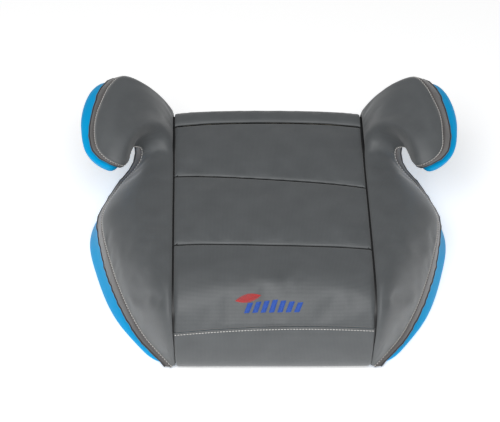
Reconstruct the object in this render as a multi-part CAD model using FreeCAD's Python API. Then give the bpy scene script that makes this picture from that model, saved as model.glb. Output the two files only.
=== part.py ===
"""Backless booster seat for a car: a blow-moulded shell with two armrests, foam, and a sewn cover.

Millimetres.  +X is the sitter's left-to-right width, +Y points to the backrest side, +Z is up.
The origin is on the surface that the seat stands on, below the middle of the seat.
Every shape is made for the right-hand side first, and mirrored in the YZ plane for the left.
"""
import FreeCAD, Part
import math
import os

Vec = FreeCAD.Vector

# Driving dimensions
SEAM_X = 113.0            # half the width of the centre panels, from seam to seam
PANEL_THICK = 3.0         # laminated cover cloth
GUSSET_THICK = 1.5        # the band of plain cloth along the panels' outer edge
SEAM_GAP = 0.5            # clearance between neighbouring sewn pieces
GUSSET_DROP = 2.6         # the gusset starts this far below the panel's edge, clear of its thickness
LAYER_GAP = 0.4           # clearance between cover, foam and shell
FOAM_CLEARANCE = 1.0      # clearance between the cover and the curved side foam
WALL = 3.0                # wall of the blow-moulded shell
SHELL_TOP = 75.0          # height of the shell's deck
FOAM_BOTTOM = SHELL_TOP + LAYER_GAP
RIM_TILT = 0.22           # rise of the armrest's lower edge towards the back
RIM_TIP_Z = 118.0         # height of that edge at the armrest's tip
RIM_TIP_Y = 35.0
ELASTIC_WIDTH = 3.0       # covered elastic along the cover's hem
ELASTIC_THICK = 1.2
ELASTIC_PROUD = 0.9
LABEL_THICK = 0.5
CLIP_HEAD_D = 16.0        # push-in clips that hold the front flap
CLIP_SHANK_D = 6.0

# Stations of the side panel, from its front toe round the bolster, the belt slot and the armrest.
# Each row: seam (y, z) at x = SEAM_X, then the panel's outer edge, the hem below it,
# and the two handles that shape the cloth between the seam and the edge.
STATIONS = [
    ((-169, 7), (117, -169, 6), (126, -166, 4), (1, 0, 0), (-1, 0, 0)),
    ((-170, 32), (127, -160, 14), (134, -158, 9), (8, -1, 1), (-5, -5, 6)),
    ((-168, 58), (145, -140, 25), (151, -139, 15), (12, -3, 3), (-8, -7, 9)),
    ((-157, 80), (159, -118, 34), (165, -115, 20), (18, -4, 6), (-10, -8, 13)),
    ((-135, 93), (169, -98, 42), (176, -92, 25), (22, -1, 8), (-10, -8, 19)),
    ((-105, 98), (179, -72, 50), (184, -70, 28), (26, 0, 9), (-9, -6, 24)),
    ((-70, 99), (187, -46, 58), (192, -45, 31), (28, 0, 9), (-8, -4, 24)),
    ((-35, 99), (194, -18, 64), (198, -16, 34), (28, 0, 9), (-8, -2, 24)),
    ((0, 98), (197, 8, 68), (203, 12, 38), (28, 0, 9), (-10, 0, 24)),
    ((28, 98), (193, 28, 70), (204, 34, 44), (28, 0, 8), (-12, 0, 20)),
    ((52, 98), (183, 50, 72), (190, 56, 61), (26, 0, 7), (-12, 0, 16)),
    ((70, 98), (172, 68, 75), (178, 74, 70), (22, 0, 6), (-12, 0, 13)),
    ((84, 99), (160, 83, 80), (165, 90, 73), (17, 0, 6), (-9, 2, 12)),
    ((94, 100), (152, 93, 89), (157, 101, 83), (14, -1, 7), (-6, 4, 10)),
    ((102, 101), (152, 96, 101), (158, 103, 101), (14, -3, 14), (-5, 6, 8)),
    ((109, 101), (161, 87, 112), (169, 90, 108), (16, -6, 28), (-6, 10, 10)),
    ((115, 101), (164, 68, 118), (172, 71, 111), (20, -10, 42), (-6, 14, 20)),
    ((120, 101), (166, 48, 124), (173, 52, 114), (24, -14, 52), (-3, 22, 24)),
    ((124, 101), (171, 31, 134), (177, 36, 125), (28, -14, 58), (-2, 30, 26)),
    ((129, 101), (185, 33, 140), (191, 38, 130), (32, -10, 62), (-8, 32, 22)),
    ((134, 101), (198, 45, 144), (206, 50, 133), (34, -6, 64), (-18, 28, 18)),
    ((139, 101), (203, 68, 150), (213, 72, 139), (34, -2, 64), (-24, 18, 18)),
    ((144, 101), (202, 92, 156), (212, 96, 145), (32, 2, 62), (-24, 10, 18)),
    ((150, 101), (195, 116, 162), (208, 119, 151), (29, 4, 57), (-22, 4, 14)),
    ((157, 100), (188, 134, 166), (203, 140, 154), (25, 4, 50), (-18, 0, 10)),
    ((162, 100), (179, 149, 167), (193, 157, 155), (21, 4, 41), (-14, -4, 6)),
    ((166, 97), (171, 162, 158), (184, 168, 147), (17, 3, 30), (-10, -4, 4)),
    ((169, 88), (165, 169, 140), (176, 172, 132), (14, 1, 18), (-10, -1, 2)),
    ((170, 72), (161, 171, 114), (169, 172, 110), (14, 0, 7), (-12, 0, 0)),
    ((170, 55), (156, 171, 84), (165, 171, 82), (14, 0, 2), (-12, 0, 0)),
    ((170, 38), (150, 170, 44), (159, 168, 42), (12, 0, 0), (-12, 0, 0)),
]
EDGE_STEPS = 9            # points along each line of cloth from the seam to the edge
SIDE_ROWS = 44            # lines of cloth along the side panel
FOAM_ROWS = (7, 41)       # the lines that the side foam lies under
CENTRE_ROWS = 16          # and along each centre panel

# Plan outlines of the shell, right half, from the front middle to the back middle.
SHELL_FOOT = [(0, -162), (60, -162), (108, -161.5), (132, -156), (153, -134), (177, -97), (206, -14),
              (214, 40), (203, 82), (178, 124), (162, 148), (140, 161), (98, 164), (0, 166)]
SHELL_SHOULDER = [(0, -153), (60, -152), (98, -148), (118, -139), (137, -117), (160, -84), (186, -10),
                  (189, 30), (178.5, 73), (163, 110), (153, 136), (133, 154), (92, 158), (0, 160)]
# How far the wall has moved from the foot to the shoulder outline at each height.
SHELL_PROFILE = [(0.0, 0.10), (3.0, 0.0), (14.0, 0.18), (30.0, 0.46), (42.0, 0.66),
                 (56.0, 0.86), (66.0, 1.06), (71.0, 1.35), (SHELL_TOP, 2.0)]

# Armrest core: plan outline of its widest section, and (height, inset, scale) of the others.
ARM_OUTLINE = [(223, 98), (217.5, 140), (203, 161), (179, 164), (160, 154), (154, 130),
               (158, 105), (165.5, 82), (172, 58), (184, 41.5), (203, 48.5), (219, 71)]
ARM_SECTIONS = [(-13.0, 12.0, 1.0), (-12.0, 8.0, 1.0), (-10.0, 4.5, 1.0), (-7.0, 2.0, 1.0), (-3.5, 0.5, 1.0),
                (0.0, 0.0, 1.0), (2.5, 1.7, 1.0), (5.5, 5.0, 1.0), (10.0, 11.0, 1.0), (13.5, 11.0, 0.83),
                (16.5, 11.0, 0.65), (18.5, 11.0, 0.40)]
ARM_CENTRE = (188, 104)

# Post that carries the armrest: (height, left, right, front, back)
POST_SECTIONS = [(55.0, 126, 158, 114, 158), (85.0, 128, 160, 110, 162),
                 (112.0, 136, 170, 109, 163), (140.0, 164, 196, 112, 155)]

# Centre line of the seat surface from the back hem round to the tucked front flap: (y, z)
CENTRE_LINE = {
    "cover_rear_apron": [(171, 34), (172, 60), (172.6, 84), (171, 97)],
    "cover_rear_strip": [(171, 97), (165, 103), (153, 104), (141, 99)],
    "cover_back_panel": [(141, 99), (130, 102), (90, 102), (52, 101), (40, 98)],
    "cover_middle_panel": [(40, 98), (29, 101), (-15, 102), (-59, 102), (-70, 99)],
    "cover_front_panel": [(-70, 99), (-82, 102), (-118, 99), (-148, 86), (-165, 64)],
    "cover_front_apron": [(-165, 64), (-170.5, 45), (-173.2, 26), (-172.4, 13), (-168.5, 6), (-161, 3.6),
                          (-152, 3.3), (-142, 3.4)],
}
# Clearance that each centre panel leaves before its first and after its last row.
CENTRE_GAPS = {"cover_rear_apron": (0.3, 3.6), "cover_front_apron": (1.6, 0.3)}
SEAT_FOAM_LINE = [(160, 92), (148, 94), (90, 94.5), (40, 94), (-15, 94.5), (-70, 94.5), (-115, 93),
                  (-136, 86), (-147, 78.5)]
REAR_BOW = 3.0            # the back edge stands this much further out in the middle
CENTRE_CROWN = 3.0        # the centre panels stand this much higher in the middle than at the seams
COLUMNS = 9               # points across the centre panels

FLAP_RECESS = (118.0, -136.0, 7.5)    # half width, back edge and depth of the shell's recess for the flap
CLIP_PLACES = (-90.0, -30.0, 30.0, 90.0)
CLIP_Y = -151.0
CLIP_HEAD_Z = 0.9
CLIP_LENGTH = 16.0
POCKET_MOUTH = 38.0       # square tack-off pockets in the shell's underside
POCKET_FLOOR = 24.0
POCKET_DEPTH = 42.0
POCKET_PLACES = [(x, y) for x in (-135, -45, 45, 135) for y in (-75, 15)] + [(-68, 105), (0, 105), (68, 105)]
SCREW_POCKET = (136, 133)             # each armrest is screwed on from a deeper pocket
SCREW_POCKET_MOUTH = 36.0
SCREW_POCKET_FLOOR = 32.0
SCREW_POCKET_DEPTH = 60.0
SCREW_PLACES = [(138, 124), (138, 142)]
SCREW_D = 5.0
SCREW_LENGTH = 28.0
SCREW_HEAD = (10.0, 3.0)              # diameter and height
BOSS_D = 13.0
BOSS_TOP = 94.0

# The belt label lies on the ledge outside the hem: inner edge's middle, direction, and its sizes.
LABEL_MIDDLE = (183, 77)
LABEL_ANGLE = 126.0
LABEL_LENGTH = 38.0
LABEL_REACH = 26.0
LABEL_HEIGHTS = (46.0, 72.0)
MOTIF_PLACE = (0.62, 0.76)            # share of the front panel's length that the motif covers
MOTIF_HALF_WIDTH = 38.0


def mirrored(shape):
    return shape.mirror(Vec(0, 0, 0), Vec(1, 0, 0))


def save(name, shapes):
    shapes = shapes if isinstance(shapes, list) else [shapes]
    whole = shapes[0] if len(shapes) == 1 else Part.makeCompound(shapes)
    whole.exportStep(os.path.join("parts", name + ".step"))
    volume = sum(s.Volume for s in shapes)
    print("%-22s valid %s solids %d volume %.0f" % (name, whole.isValid(), len(whole.Solids), volume))


def save_pair(name, shapes):
    shapes = shapes if isinstance(shapes, list) else [shapes]
    save("right_" + name, shapes)
    save("left_" + name, [mirrored(s) for s in shapes])


def grid_normals(grid):
    """Unit normals of a grid of points, from the differences between neighbours."""
    rows, cols = len(grid), len(grid[0])
    normals = []
    for i in range(rows):
        line = []
        for j in range(cols):
            along = grid[min(i + 1, rows - 1)][j] - grid[max(i - 1, 0)][j]
            across = grid[i][min(j + 1, cols - 1)] - grid[i][max(j - 1, 0)]
            line.append(along.cross(across).normalize())
        normals.append(line)
    return normals


def evenly_spaced(grid, count):
    """The grid with its rows spaced evenly along its last column, so that a surface runs smoothly."""
    lengths = [0.0]
    for before, after in zip(grid, grid[1:]):
        lengths.append(lengths[-1] + (after[-1] - before[-1]).Length)
    places = [lengths[-1] * k / (count - 1) for k in range(count)]
    columns = []
    for j in range(len(grid[0])):
        curve = Part.BSplineCurve()
        curve.interpolate([line[j] for line in grid], Parameters=lengths)
        columns.append([curve.value(place) for place in places])
    return [list(row) for row in zip(*columns)]


def surface(grid):
    patch = Part.BSplineSurface()
    patch.interpolate(grid)
    return patch


def border_curves(patch):
    u0, u1, v0, v1 = patch.bounds()
    return [curve.toShape() for curve in (patch.uIso(u0), patch.uIso(u1), patch.vIso(v0), patch.vIso(v1))]


def slab(outer, inner):
    """Closed solid between two grids of points with the same number of rows and columns."""
    top, bottom = surface(outer), surface(inner)
    faces = [top.toShape(), bottom.toShape()]
    for upper, lower in zip(border_curves(top), border_curves(bottom)):
        faces.append(Part.makeRuledSurface(upper, lower, 1))
    shell = Part.makeShell(faces)
    shell.sewShape()
    solid = Part.makeSolid(shell)
    if solid.Volume < 0:
        solid.reverse()
    return solid


def sunk(grid, depth):
    """The grid moved inwards along its normals; depth is a number or a function of (row, column)."""
    normals = grid_normals(grid)
    amount = depth if callable(depth) else (lambda i, j: depth)
    return [[p - n * amount(i, j) for j, (p, n) in enumerate(zip(line, ns))]
            for i, (line, ns) in enumerate(zip(grid, normals))]


# Side panels, gussets, side foam

def cloth_line(station):
    """Points from the seat seam to the panel's outer edge, on one cubic curve."""
    (seam_y, seam_z), edge, hem, start, end = station
    p0 = Vec(SEAM_X + SEAM_GAP / 2, seam_y, seam_z)
    p3 = Vec(*edge)
    p1, p2 = p0 + Vec(*start), p3 + Vec(*end)
    line = []
    for k in range(EDGE_STEPS):
        t = k / (EDGE_STEPS - 1)
        near_seam = p0 * (1 - t) ** 3 + p1 * (3 * t * (1 - t) ** 2)
        near_edge = p2 * (3 * t * t * (1 - t)) + p3 * t ** 3
        line.append(near_seam + near_edge)
    return line


def side_grid():
    """Grid of the side panel from the rear, with two more columns: the gusset's middle and its hem."""
    grid = []
    for station in reversed(STATIONS):
        line = cloth_line(station)
        edge, hem = line[-1], Vec(*station[2])
        grid.append(line + [edge + (hem - edge) * 0.5, hem])
    return evenly_spaced(grid, SIDE_ROWS)


def side_panel(grid):
    cloth = [line[:EDGE_STEPS] for line in grid]
    return slab(cloth, sunk(cloth, PANEL_THICK))


def gusset_normals(grid):
    return grid_normals([line[EDGE_STEPS - 1:] for line in grid])


def gusset(grid):
    """Band from just below the panel's edge to the hem, slightly bowed outwards."""
    outer = []
    for line, ns in zip(grid, gusset_normals(grid)):
        edge, middle, hem = line[EDGE_STEPS - 1:]
        down = (hem - edge).normalize()
        start = edge + down * min(GUSSET_DROP, (hem - edge).Length * 0.4)
        outer.append([start, middle + ns[1] * 0.6, hem - down * (ELASTIC_WIDTH + SEAM_GAP)])
    return slab(outer, sunk(outer, GUSSET_THICK))


def side_foam(grid):
    """Padding under the side panel: thick over the bolster and the armrest, thin at its edges."""
    rows = FOAM_ROWS[1] - FOAM_ROWS[0]

    def depth(i, j):
        across = math.sin(math.pi * min(1.0, 0.25 + j / (EDGE_STEPS - 1)))
        start = min(1.0, i / 8.0)
        end = min(1.0, (rows - 1 - i) / 8.0)
        return PANEL_THICK + FOAM_CLEARANCE + 1.5 + 8.0 * across * start * end

    trimmed = [line[1:EDGE_STEPS - 1] for line in grid[FOAM_ROWS[0]:FOAM_ROWS[1]]]
    top = sunk(trimmed, PANEL_THICK + FOAM_CLEARANCE)
    pad = slab(top, sunk(trimmed, depth))
    hard = [foot_solid(-LAYER_GAP), arm_solid(-LAYER_GAP).fuse(post_solid(-LAYER_GAP))]
    return max(pad.cut(hard).Solids, key=lambda piece: piece.Volume)


# Shell

def closed_curve(points):
    curve = Part.BSplineCurve()
    curve.interpolate(points, PeriodicFlag=True)
    return Part.Wire([curve.toShape()])


def both_halves(half):
    """Outline points of the whole plan from those of the right half."""
    return half + [(-x, y) for x, y in reversed(half[1:-1])]


def foot_outline(share, inset, height):
    points = []
    half = [(a[0] + (b[0] - a[0]) * share, a[1] + (b[1] - a[1]) * share)
            for a, b in zip(SHELL_FOOT, SHELL_SHOULDER)]
    plan = both_halves(half)
    for k, (x, y) in enumerate(plan):
        ahead, behind = plan[(k + 1) % len(plan)], plan[k - 1]
        tangent = Vec(ahead[0] - behind[0], ahead[1] - behind[1], 0).normalize()
        points.append(Vec(x - tangent.y * inset, y + tangent.x * inset, height))
    return closed_curve(points)


def foot_solid(inset):
    wires = []
    for height, share in SHELL_PROFILE:
        z = inset if height == 0.0 else height
        z = SHELL_TOP - inset if height == SHELL_TOP else z
        wires.append(foot_outline(share, inset, z))
    return Part.makeLoft(wires, True)


def arm_section(height, inset, scale):
    """A section parallel to the armrest's tilted lower edge, height above it."""
    cx, cy = ARM_CENTRE
    count = len(ARM_OUTLINE)
    points = []
    for k, (x, y) in enumerate(ARM_OUTLINE):
        ahead, behind = ARM_OUTLINE[(k + 1) % count], ARM_OUTLINE[k - 1]
        tangent = Vec(ahead[0] - behind[0], ahead[1] - behind[1], 0).normalize()
        px = cx + (x - tangent.y * inset - cx) * scale
        py = cy + (y + tangent.x * inset - cy) * scale
        points.append(Vec(px, py, RIM_TIP_Z + RIM_TILT * (py - RIM_TIP_Y) + height))
    return closed_curve(points)


def arm_solid(inset):
    lowest = abs(ARM_SECTIONS[0][0])
    sections = []
    for height, side, scale in ARM_SECTIONS:
        sections.append(arm_section(height * (1.0 - inset / lowest), side + inset, scale))
    return Part.makeLoft(sections, True, True)


def rounded_rectangle(left, right, front, back, height, radius):
    base = Part.makePlane(right - left, back - front, Vec(left, front, height))
    corners = [(left, front), (right, front), (right, back), (left, back)]
    edges = []
    for k, (x, y) in enumerate(corners):
        sx = 1 if x == left else -1
        sy = 1 if y == front else -1
        a = Vec(x, y + sy * radius, height)
        b = Vec(x + sx * radius, y, height)
        bend = radius * (1 - math.sqrt(0.5))
        m = Vec(x + sx * bend, y + sy * bend, height)
        first, last = (a, b) if k in (0, 2) else (b, a)
        edges.append((first, m, last))
    segments = []
    for k, (first, m, last) in enumerate(edges):
        segments.append(Part.Arc(first, m, last).toShape())
        following = edges[(k + 1) % 4][0]
        segments.append(Part.LineSegment(last, following).toShape())
    return Part.Wire(segments)


def post_solid(inset):
    wires = [rounded_rectangle(l + inset, r - inset, f + inset, b - inset, z, 12.0)
             for z, l, r, f, b in POST_SECTIONS]
    return Part.makeLoft(wires, True)


def square_taper(x, y, mouth, floor, bottom, top):
    wires = []
    for size, z in ((mouth, bottom), (floor, top)):
        half = size / 2
        wires.append(rounded_rectangle(x - half, x + half, y - half, y + half, z, size / 6))
    return Part.makeLoft(wires, True, True)


def pockets(grow):
    """Tack-off pockets of the underside, and the two deeper ones for the armrest screws."""
    tapers = [square_taper(x, y, POCKET_MOUTH + 2 * grow, POCKET_FLOOR + 2 * grow, 0.0, POCKET_DEPTH + grow)
              for x, y in POCKET_PLACES]
    x, y = SCREW_POCKET
    mouth, floor = SCREW_POCKET_MOUTH + 2 * grow, SCREW_POCKET_FLOOR + 2 * grow
    top = SCREW_POCKET_DEPTH if grow == 0 else SHELL_TOP
    return tapers + [square_taper(side_x, y, mouth, floor, 0.0, top) for side_x in (x, -x)]


def flap_recess(grow):
    half, back, depth = FLAP_RECESS
    front = SHELL_FOOT[0][1] - 10.0
    return Part.makeBox(2 * (half + grow), back + grow - front, depth + grow + 5.0,
                        Vec(-half - grow, front, -5.0))


def clip_holes(diameter):
    return [Part.makeCylinder(diameter / 2, 30.0, Vec(x, CLIP_Y, -5.0)) for x in CLIP_PLACES]


def screw_holes(diameter, bottom, top):
    holes = [Part.makeCylinder(diameter / 2, top - bottom, Vec(x, y, bottom)) for x, y in SCREW_PLACES]
    return holes + [mirrored(hole) for hole in holes]


def seat_shell():
    """Hollow moulding: the outer body less its void, which stays clear of pockets and recess."""
    outer = foot_solid(0.0).cut(pockets(0.0) + [flap_recess(0.0)])
    void = foot_solid(WALL).cut(pockets(WALL) + [flap_recess(WALL)])
    holes = screw_holes(SCREW_D + 0.6, SCREW_POCKET_DEPTH - 5.0, SHELL_TOP + 5.0)
    return outer.cut(void).cut(clip_holes(CLIP_SHANK_D + 0.6) + holes)


def armrest_core():
    """Hollow armrest and its post, whose foot follows the shell's shoulder, with two screw bosses."""
    outer = arm_solid(0.0).fuse(post_solid(0.0)).cut(foot_solid(-LAYER_GAP))
    void = arm_solid(WALL).fuse(post_solid(WALL)).cut(foot_solid(-LAYER_GAP - WALL))
    bosses = screw_holes(BOSS_D, 50.0, BOSS_TOP)[:2]
    bores = screw_holes(SCREW_D + 0.2, 50.0, BOSS_TOP - WALL)[:2]
    return outer.cut(void.cut(bosses)).cut(bores)


def armrest_screws():
    screws = []
    head_d, head_h = SCREW_HEAD
    for x, y in SCREW_PLACES:
        head = Part.makeCylinder(head_d / 2, head_h, Vec(x, y, SCREW_POCKET_DEPTH - head_h - 0.1))
        shank = Part.makeCylinder(SCREW_D / 2, SCREW_LENGTH, Vec(x, y, SCREW_POCKET_DEPTH - 0.5))
        cross = Part.makeBox(6.0, 1.2, 1.8, Vec(x - 3.0, y - 0.6, SCREW_POCKET_DEPTH - head_h - 0.1))
        across = Part.makeBox(1.2, 6.0, 1.8, Vec(x - 0.6, y - 3.0, SCREW_POCKET_DEPTH - head_h - 0.1))
        screws.append(head.fuse(shank).cut([cross, across]))
    return screws + [mirrored(screw) for screw in screws]


def belt_label():
    bottom, top = LABEL_HEIGHTS
    window = Part.makeBox(LABEL_LENGTH, LABEL_REACH, top - bottom, Vec(-LABEL_LENGTH / 2, -LABEL_REACH, 0))
    window.rotate(Vec(0, 0, 0), Vec(0, 0, 1), LABEL_ANGLE)
    window.translate(Vec(LABEL_MIDDLE[0], LABEL_MIDDLE[1], bottom))
    return foot_solid(-0.2 - LABEL_THICK).common(window).cut(foot_solid(-0.2))


# Centre panels

def centre_grid(rows, first_gap, last_gap):
    """Grid of one centre panel; the gaps trim its first and last row along the centre line."""
    line = [Vec(0, y, z) for y, z in rows]
    line[0] = line[0] + (line[1] - line[0]).normalize() * first_gap
    line[-1] = line[-1] + (line[-2] - line[-1]).normalize() * last_gap
    half = SEAM_X - SEAM_GAP / 2
    grid = []
    for point in line:
        row = []
        for k in range(COLUMNS):
            across = 2.0 * k / (COLUMNS - 1) - 1.0
            bow = REAR_BOW * max(0.0, point.y - 120.0) / 52.0 * across ** 2
            drop = CENTRE_CROWN * across ** 4 if point.z > 90 else CENTRE_CROWN * 0.3 * across ** 4
            back = 1.2 * across ** 4 if point.y < -150 else 0.0
            row.append(Vec(half * across, point.y - bow + back, point.z - drop))
        grid.append(row)
    return evenly_spaced(grid, CENTRE_ROWS)


def centre_panels():
    panels = {}
    for name, rows in CENTRE_LINE.items():
        grid = centre_grid(rows, *CENTRE_GAPS.get(name, (SEAM_GAP / 2, SEAM_GAP / 2)))
        panels[name] = slab(grid, sunk(grid, PANEL_THICK if name != "cover_front_apron" else GUSSET_THICK))
    holes = clip_holes(CLIP_SHANK_D + 0.4)
    panels["cover_front_apron"] = panels["cover_front_apron"].cut(holes)
    return panels


def seat_foam():
    top = centre_grid(SEAT_FOAM_LINE, 0.0, 0.0)
    bottom = [[Vec(p.x, max(p.y, -146.0), FOAM_BOTTOM) for p in line] for line in top]
    return slab(top, bottom)


def motif():
    """Raised embroidery: a small bank of thread that follows the front panel."""
    panel = surface(centre_grid(CENTRE_LINE["cover_front_panel"], 0.0, 0.0))
    u0, u1, v0, v1 = panel.bounds()
    near, far = MOTIF_PLACE
    middle = (v0 + v1) / 2
    reach = (v1 - v0) / 2 * MOTIF_HALF_WIDTH / SEAM_X
    grid = []
    for i in range(4):
        u = u0 + (u1 - u0) * (near + (far - near) * i / 3)
        grid.append([panel.value(u, middle + reach * (2 * j / 5 - 1)) for j in range(6)])
    return slab(sunk(grid, -1.0), sunk(grid, -0.2))


# Hems and clips

def hem_elastic(grid):
    """Covered elastic along the hem of the side gusset."""
    outer = []
    for line, ns in zip(grid, gusset_normals(grid)):
        edge, middle, hem = line[EDGE_STEPS - 1:]
        down = (hem - edge).normalize()
        first = hem - down * ELASTIC_WIDTH + ns[-1] * ELASTIC_PROUD
        outer.append([first, first + down * ELASTIC_WIDTH / 2 + ns[-1] * 0.4, first + down * ELASTIC_WIDTH])
    return slab(outer, sunk(outer, ELASTIC_THICK))


def cover_clips():
    clips = []
    for x in CLIP_PLACES:
        head = Part.makeCylinder(CLIP_HEAD_D / 2, 1.6, Vec(x, CLIP_Y, CLIP_HEAD_Z))
        shank = Part.makeCylinder(CLIP_SHANK_D / 2, CLIP_LENGTH, Vec(x, CLIP_Y, CLIP_HEAD_Z + 1.0))
        tip = Part.makeCone(CLIP_SHANK_D / 2, 1.2, 4.0, Vec(x, CLIP_Y, CLIP_HEAD_Z + 1.0 + CLIP_LENGTH))
        clips.append(head.fuse([shank, tip]))
    return clips


os.makedirs("parts", exist_ok=True)
side = side_grid()
armrest = armrest_core()
save("seat_shell", seat_shell())
save_pair("armrest_core", armrest)
save("armrest_screws", armrest_screws())
save_pair("side_panel", side_panel(side))
save_pair("gusset", gusset(side))
save_pair("hem_elastic", hem_elastic(side))
save_pair("side_foam", side_foam(side))
save_pair("belt_label", belt_label())
save("seat_foam", seat_foam())
for panel_name, panel_shape in centre_panels().items():
    save(panel_name, panel_shape)
save("embroidered_motif", motif())
save("cover_clips", cover_clips())
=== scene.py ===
"""Backless booster seat: sewn cover, stitching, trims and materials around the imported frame.

Lengths are in millimetres, as on the drawing, and MM turns them into the scene's metres.
The right side of the cover is drawn once, as lines of cloth from the seam to the hem, and mirrored
for the left one, where only the place of the sewn edge differs.
"""
import math

import bpy
import numpy as np
from mathutils import Matrix, Vector


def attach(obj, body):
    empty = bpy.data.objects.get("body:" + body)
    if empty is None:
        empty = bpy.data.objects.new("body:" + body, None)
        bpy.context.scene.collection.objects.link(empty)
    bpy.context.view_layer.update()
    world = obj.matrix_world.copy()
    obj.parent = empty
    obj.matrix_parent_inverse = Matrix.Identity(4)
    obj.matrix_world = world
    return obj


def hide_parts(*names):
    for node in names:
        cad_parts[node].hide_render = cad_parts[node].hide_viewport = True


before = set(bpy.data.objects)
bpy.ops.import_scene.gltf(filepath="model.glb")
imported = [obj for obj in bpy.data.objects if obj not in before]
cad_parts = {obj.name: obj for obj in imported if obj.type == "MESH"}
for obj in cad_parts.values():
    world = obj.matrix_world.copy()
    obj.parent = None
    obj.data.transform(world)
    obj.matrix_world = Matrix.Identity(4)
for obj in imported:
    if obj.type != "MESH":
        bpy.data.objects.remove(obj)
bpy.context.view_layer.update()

MM = 0.001
SEAM_X = 113.0            # half the width of the centre panels
REAR_BOW = 3.0            # the back edge stands this much further out in the middle,
BOW_FROM = 120            # where y is over this value,
BOW_LENGTH = 52           # and it grows over this length
FRONT_BOW = 1.2           # the front edge's corners lie this much further back
CENTRE_CROWN = 3.0        # the centre panels' drop from the middle to the seams, on top of the seat
CROWN_BELOW = 0.3         # share of that drop which is left
TOP_Z = 90                # below this height
FRONT_Y = -150            # the front edge begins here
CLOTH_THICK = 1.8         # laminated cover cloth
BAND_THICK = 1.2          # the gusset's plain cloth
PUFF_LIMIT = 3.0          # how far the simulation may move the cloth
PRESSURE = 0.9            # air pressure that puffs the panels
LOOSENESS = 0.006         # share by which the cloth is cut larger than its place
PUFF_FRAMES = 20          # length of the simulation
SIDE_HELD = 5.0           # the simulation holds this much of a side panel along its borders
CENTRE_HELD = 5.5         # and this much of a centre panel
SEAM_GAP = 0.5            # open width of a side seam's groove at its bottom
CROSS_GAP = 3.2           # and of the grooves across the seat
THREAD_GAP = 0.1          # the front panel and its apron stop this far from the topstitched seam
SIDE_TAPE = (5.0, 3.4, 0.7)    # tape under a side seam: how deep it lies, half its width and height
CROSS_TAPE = (2.0, 3.6, 0.6)   # the same for the seams across the seat
TOE_IN = 3.0              # the side seams run inwards by this much below the front edge,
TOE_TOP = 64              # from this height
TOE_LENGTH = 58           # over this length down
STITCH_LENGTH = 2.9
STITCH_GAP = 0.5
STITCH_WIDTH = 1.0
THREAD_RISE = (-0.55, -0.1, 0.22, 0.3, 0.22, -0.1, -0.55)    # a stitch's height along its length
THREAD_FULL = (0.45, 0.85, 1.0, 1.0, 1.0, 0.85, 0.45)        # and its share of the full width
EDGE_STITCH_IN = 1.7      # distance of the topstitch from the panel's edge
FRONT_STITCH_ROW = 4      # row of the front apron that carries the front topstitch
FLAT_ROW = 8              # row of a centre panel that lies beyond the roll into its rear seam
DIP_DEPTH = 0.4           # the topstitch pulls the cloth in by this much
DIP_WIDTH = 1.1
EDGE_OVER = 1.8           # the panel's edge lies this far beyond the stations' edge
HEM_BACK = 2.0            # the elastic's middle lies this far inside the stations' hem
HEM_BEAD = (0.2, 1.1, 0.9)     # the elastic: how far it stands proud, half its width and height
BAND_LEAST = 2.5          # the panel's edge stays this far from the hem
BAND_SHOWN = 0.8          # and the gusset shows at least this far beyond the edge
BAND_UNDER = 1.0          # the gusset starts this far under the panel's edge
BAND_SUNK = 1.5           # and this deep behind it
BAND_FOLDS = ((1.9, 0.0, 0.3), (3.1, 1.0, 0.25), (0.83, 0.0, 0.1))    # (length, start, height)
BAND_BOW = 0.7            # the gusset bulges out by this much between its edges
BAND_COLUMNS = 9
EDGE_STEPS = 24           # steps of a line of cloth from the seam to the edge
HEM_STEPS = 3             # and from the edge to the hem
SIDE_STEP = 4.2           # spacing of the lines of cloth along the side panel
CENTRE_STEP = 4.5         # and in the centre panels

# (length, depth) of the rolls of a side panel
END_ROLL = (3, 1.5)
SEAM_ROLL = (7.5, 1.4)
EDGE_ROLL = (1.8, 1.1)
LEVEL_ROLL = 2.8          # the roll into the seam is this much deeper where the seat is level,
LEVEL_END = 168           # and that fades out towards this place at the back
LEVEL_FADE = 14           # over this length

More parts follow.
